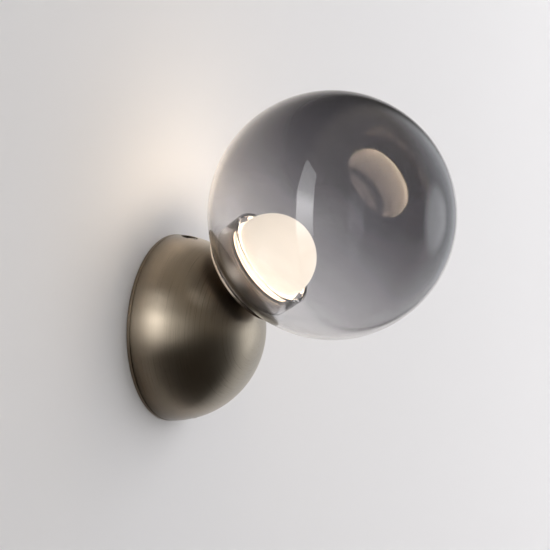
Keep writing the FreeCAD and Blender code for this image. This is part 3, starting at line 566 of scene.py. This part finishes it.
def lit_opal():
    """Satin opal plastic lit from inside. The solid skirt glows less than the thin dome.

    The lamp inside shines out through it. Its image in the globe is partly painted reflection:
    glossy rays see it far brighter, in bands with a dark ring.
    """
    constants = {"Roughness": 0.35, "Emission Strength": 2.7, "Base Color": (0.9, 0.87, 0.8, 1)}
    skirt = (0.295, 0.25, 0.195, 1)
    material, shader, place = new_finish("lit_opal", constants)
    height = way(along(place, arm_axis), skirt_foot, dome_top)
    height = height + 0.008 * (noise(place, 45.0) - 0.5)
    # The two thin darker bands at the steps of the skirt are painted shade.
    seen = ramp(height, [
        (0.0, skirt), (0.045, skirt), (0.05, (0.17, 0.145, 0.115, 1)),
        (0.06, skirt), (0.095, skirt), (0.10, (0.18, 0.155, 0.12, 1)),
        (0.11, (0.30, 0.257, 0.205, 1)), (0.4, (0.46, 0.40, 0.32, 1)),
        (0.7, (0.66, 0.57, 0.455, 1)), (1.0, (0.86, 0.745, 0.59, 1)),
    ])
    # Glossy rays see the diffuser far brighter, as a lamp is; its bands and the dark ring are a
    # painted reflection of the diffuser and the glass neck's ring mirrored in the globe.
    painted_mirror_glow = ramp(height, [
        (0.0, (9.0, 7.2, 4.9, 1)), (0.13, (12.5, 9.8, 6.7, 1)), (0.20, (9.5, 7.5, 5.2, 1)),
        (0.45, (6.3, 5.0, 3.6, 1)), (0.60, (4.0, 3.2, 2.4, 1)), (0.66, (3.2, 2.6, 2.0, 1)),
        (0.69, (0.35, 0.3, 0.25, 1)), (0.735, (0.4, 0.35, 0.3, 1)),
        (0.755, (2.4, 2.0, 1.65, 1)), (1.0, (1.5, 1.3, 1.05, 1)),
    ])
    wear(shader, {"Emission Color": bounced(place, "Glossy Depth").mix(seen, painted_mirror_glow)})
    let_through(place, shader, place.node("ShaderNodeLightPath", out="Is Shadow Ray"))
    return material


dress(lit_opal(), "opal_diffuser")


# ------------------------------------------------------------ gasket and glass globe
# Clear silicone between flange and glass. The globe is blown in clear glass that is smoked
# towards its far end, and its mouth folds back inside as a straight neck over the collar.

globe_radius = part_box("glass_globe")[1].x
glass_wall = 2.4 * mm
glass_neck_bore = 29.9 * mm
glass_neck_length = 19.4 * mm
lip_round = 0.9 * mm
neck_end_round = 0.5 * mm
lip_radius = glass_neck_bore + glass_wall
lip_station = 63.304 * mm
globe_rise = math.sqrt(globe_radius ** 2 - lip_radius ** 2)
smoke_lean = 0.35


def silicone():
    """Clear silicone rubber."""
    constants = {"Transmission Weight": 1.0, "IOR": 1.41}
    material, shader, place = new_finish("clear_silicone", constants)
    cloud = noise(place, 200.0)
    wear(shader, {
        "Base Color": cloud.mix((0.86, 0.86, 0.86, 1), (0.96, 0.96, 0.96, 1)),
        "Roughness": 0.03 + 0.05 * cloud,
    })
    return material


def smoked_glass():
    """Glass whose smoke deepens up from the neck to the far end, and that lets lamps through."""
    constants = {"Transmission Weight": 1.0, "IOR": 1.45}
    smoke_axis = (arm_axis + Vector((0, 0, smoke_lean))).normalized()
    middle = smoke_axis.dot(arm_axis) * (lip_station + globe_rise)
    material, shader, place = new_finish("smoked_glass", constants)
    height = way(along(place, smoke_axis), middle - globe_radius, middle + globe_radius)
    cloud = noise(place, 14.0, detail=2.0)
    smoke = ramp(height + 0.02 * (cloud - 0.5), [
        (0.05, (0.965, 0.965, 0.97, 1)), (0.20, (0.925, 0.92, 0.93, 1)),
        (0.285, (0.82, 0.815, 0.83, 1)), (0.35, (0.65, 0.645, 0.66, 1)),
        (0.425, (0.535, 0.53, 0.545, 1)), (0.525, (0.43, 0.425, 0.44, 1)),
        (0.65, (0.34, 0.335, 0.35, 1)), (0.775, (0.26, 0.255, 0.27, 1)),
        (0.90, (0.27, 0.265, 0.28, 1)), (1.0, (0.33, 0.325, 0.34, 1)),
    ])
    edge = place.node("ShaderNodeLayerWeight", {}, {"Blend": 0.5}, out="Facing")
    deep = (edge * edge * edge).mix(smoke, (0.30, 0.30, 0.305, 1), blend="MULTIPLY")
    wear(shader, {"Base Color": deep, "Roughness": 0.004 * cloud})
    let_through(place, shader, place.node("ShaderNodeLightPath", out="Is Shadow Ray"), grey=0.94)
    return material


def globe_profile():
    """Section of the glass: lip, neck bore, neck end, inside of the ball and outside of it."""
    cavity = globe_radius - glass_wall
    end = glass_neck_length - neck_end_round
    fold = math.degrees(math.atan2(math.sqrt(cavity ** 2 - lip_radius ** 2), lip_radius))
    mouth = math.degrees(math.asin((globe_rise - lip_round) / globe_radius))
    yield from arc((glass_neck_bore + lip_round, lip_round), lip_round, 270, 180, 8)
    yield from arc((glass_neck_bore + neck_end_round, end), neck_end_round, 180, 90, 6)
    yield from arc((lip_radius - neck_end_round, end), neck_end_round, 90, 0, 6)
    yield from arc((0, globe_rise), cavity, -fold, 90, 120)
    yield from arc((0, globe_rise), globe_radius, 90, -mouth, 120)
    yield lip_radius, 0.0


globe = lathe("globe_shell", globe_profile(), sides=320)
stand(globe, arm_axis, smoked_glass())
globe.data.transform(Matrix.Translation(arm_axis * lip_station) @ globe.matrix_world)
globe.rotation_euler = (0, 0, 0)
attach(globe, "globe")
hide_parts("glass_globe")
dress(silicone(), "globe_gasket")


# ------------------------------------------------------------ wall and floor
# The sconce hangs on a plain pale wall over a plain pale floor, both in metres. The wall shows
# from its front only, so that views from behind reach the bracket.

wall_left, wall_right = -1.0, 2.2
wall_foot, wall_top = -0.60, 0.42
upper_fade = 0.10, wall_top
lower_fade = -0.25, -0.58
floor_side = 2
floor_front = -2.2


def paint(name, colour):
    """Matt paint, hardly uneven. Returns its material, shader and object coordinates."""
    material, shader, place = new_finish(name, {"Roughness": 0.9, "Specular IOR Level": 0.2})
    shade = (*(0.985 * share for share in colour), 1)
    wear(shader, {"Base Color": noise(place, 3.0, detail=2.0).mix(shade, (*colour, 1))})
    return material, shader, place


def wall_paint():
    """Paint that is clear from behind. Mirrored in metal and glass, it fades above and below."""
    material, shader, place = paint("wall_paint", (0.84, 0.835, 0.84))
    level = coordinates(place)[2]
    ends = ease(level, *upper_fade) + ease(level, *lower_fade)
    behind = place.node("ShaderNodeNewGeometry", out="Backfacing")
    let_through(place, shader, behind.maths("MAXIMUM", bounced(place, "Glossy Depth") * ends))
    return material


def board(name, corners, material):
    """Flat stage piece with its front on the side from which its corners run anticlockwise."""
    mesh = bpy.data.meshes.new(name)
    mesh.from_pydata(corners, [], [(0, 1, 2, 3)])
    mesh.materials.append(material)
    piece = bpy.data.objects.new(name, mesh)
    bpy.context.scene.collection.objects.link(piece)
    return piece


board("wall", [(wall_left, 0, wall_foot), (wall_right, 0, wall_foot),
               (wall_right, 0, wall_top), (wall_left, 0, wall_top)], wall_paint())
floor = board("floor", [(-floor_side, 0, wall_foot), (-floor_side, floor_front, wall_foot),
                        (floor_side, floor_front, wall_foot), (floor_side, 0, wall_foot)],
              paint("floor_paint", (0.78, 0.77, 0.76))[0])
floor.visible_glossy = False


# ------------------------------------------------------------ lights and studio
# A tall lit screen stands at the left and is seen in metal and glass alone. A wide soft light
# stands at the right, and a small warm lamp shines inside the diffuser.

screen_foot = -0.55
screen_height = 2.0
screen_far, screen_near = (-1.30, -0.31), (-1.00, 0.02)
screen_far_top, screen_near_top = 1.12, 1.35


def lit_screen():
    """Translucent screen in front of a lamp, bright in the middle and dim at its ends."""
    material, shader, place = new_finish("lit_screen", {"Emission Strength": 1.0})
    height = way(coordinates(place)[2], screen_foot, screen_foot + screen_height)
    wear(shader, {"Emission Color": ramp(height, [
        (0.0, 0.0), (0.12, 0.6), (0.22, 3.2), (0.32, 5.0), (0.43, 7.4), (0.56, 3.0), (1.0, 1.4),
    ])})
    return material


screen = board("strip_screen", [(*screen_far, screen_foot), (*screen_near, screen_foot),
                                (*screen_near, screen_near_top), (*screen_far, screen_far_top)],
               lit_screen())
screen.visible_camera = screen.visible_diffuse = screen.visible_shadow = False


def hang_lamp(name, kind, spot, colour):
    """Hang a lamp that lights paint and isn't seen itself. Returns the lamp and its holder."""
    lamp = bpy.data.lights.new(name, kind)
    lamp.color = colour
    holder = bpy.data.objects.new(name, lamp)
    holder.location = spot
    holder.visible_glossy = holder.visible_transmission = holder.visible_camera = False
    bpy.context.scene.collection.objects.link(holder)
    return lamp, holder


softbox_side = 2.4
softbox_radiance = 2.4
softbox_spot, softbox_target = Vector((1.6, -1.5, 0.7)), Vector((0.4, 0, 0.05))
softbox, softbox_holder = hang_lamp("room_light", "AREA", softbox_spot, (0.98, 0.975, 1))
softbox.shape = "RECTANGLE"
softbox.size = softbox.size_y = softbox_side
softbox.energy = softbox_radiance * math.pi * softbox_side ** 2
facing = (softbox_target - softbox_spot).to_track_quat("-Z", "Y")
softbox_holder.rotation_euler = facing.to_euler()

bulb_station = 100 * mm
bulb_radius = 14 * mm
bulb, _ = hang_lamp("diffuser_glow", "POINT", arm_axis * bulb_station, (1.0, 0.80, 0.58))
bulb.shadow_soft_size = bulb_radius
bulb.energy = 0.25

world = bpy.data.worlds.new("studio")
world.use_nodes = True
bpy.context.scene.world = world
sky = Grain(world.node_tree).node("ShaderNodeTexCoord", out="Generated")
_, wallward, upward = coordinates(sky)
ceiling = ramp(0.5 * upward + 0.5, [
    (0.0, (0.03, 0.024, 0.018, 1)), (0.42, (0.035, 0.028, 0.02, 1)),
    (0.52, (0.09, 0.075, 0.057, 1)), (0.75, (0.26, 0.225, 0.18, 1)), (1.0, (0.42, 0.37, 0.31, 1)),
])


def patch(direction, rim, core):
    """Soft round patch of the studio: nothing past the rim's angle, full inside the core's."""
    nearness = along(sky, Vector(direction).normalized())
    return ease(nearness, math.cos(math.radians(rim)), math.cos(math.radians(core)))


# A broad cool patch at the right, a dim one at the left and a small bright one in front.
studio = patch((0.963, -0.205, -0.174), 58, 20).mix(ceiling, (0.85, 0.87, 0.9, 1))
studio = patch((-0.906, -0.423, 0.09), 27, 6).mix(studio, (0.62, 0.60, 0.56, 1))
studio = patch((0.730, -0.681, -0.052), 21, 8).mix(studio, (2.1, 2.15, 2.2, 1))
studio = ease(wallward, -0.05, 0.2).mix(studio, (0.06, 0.056, 0.05, 1))

# Metal and glass mirror the studio. Paint is lit evenly, and a view from behind sees pale air.
background = bounced(sky, "Diffuse Depth").mix((0.80, 0.80, 0.80, 1), (0.27, 0.265, 0.255, 1))
surroundings = bounced(sky, "Glossy Depth").mix(background, studio)
backdrop = world.node_tree.nodes["Background"]
world.node_tree.links.new(surroundings.socket, backdrop.inputs["Color"])
backdrop.inputs["Strength"].default_value = 1.0


# ------------------------------------------------------------ camera
# The camera stands 1.5 m off, at the photograph's angle: to the left of the sconce and a little
# above it. Its angles and its lens were fitted to the outlines of globe, canopy and diffuser.

azimuth = math.radians(-63.25)
elevation = math.radians(4.06)
distance = 1.5
view_angle = math.radians(13.03)
aim_across, aim_up = 63.4 * mm, 32.6 * mm
back = Vector((math.sin(azimuth) * math.cos(elevation), -math.cos(azimuth) * math.cos(elevation),
               math.sin(elevation)))
across = Vector((math.cos(azimuth), math.sin(azimuth), 0))
above = back.cross(across)
aim = across * aim_across + above * aim_up
lens = bpy.data.cameras.new("camera")
lens.angle = view_angle
camera = bpy.data.objects.new("camera", lens)
camera.matrix_world = Matrix.Translation(aim + back * distance) @ Matrix(
    (across, above, back)).transposed().to_4x4()
bpy.context.scene.collection.objects.link(camera)
bpy.context.scene.camera = camera
bpy.context.scene.view_settings.view_transform = "Standard"
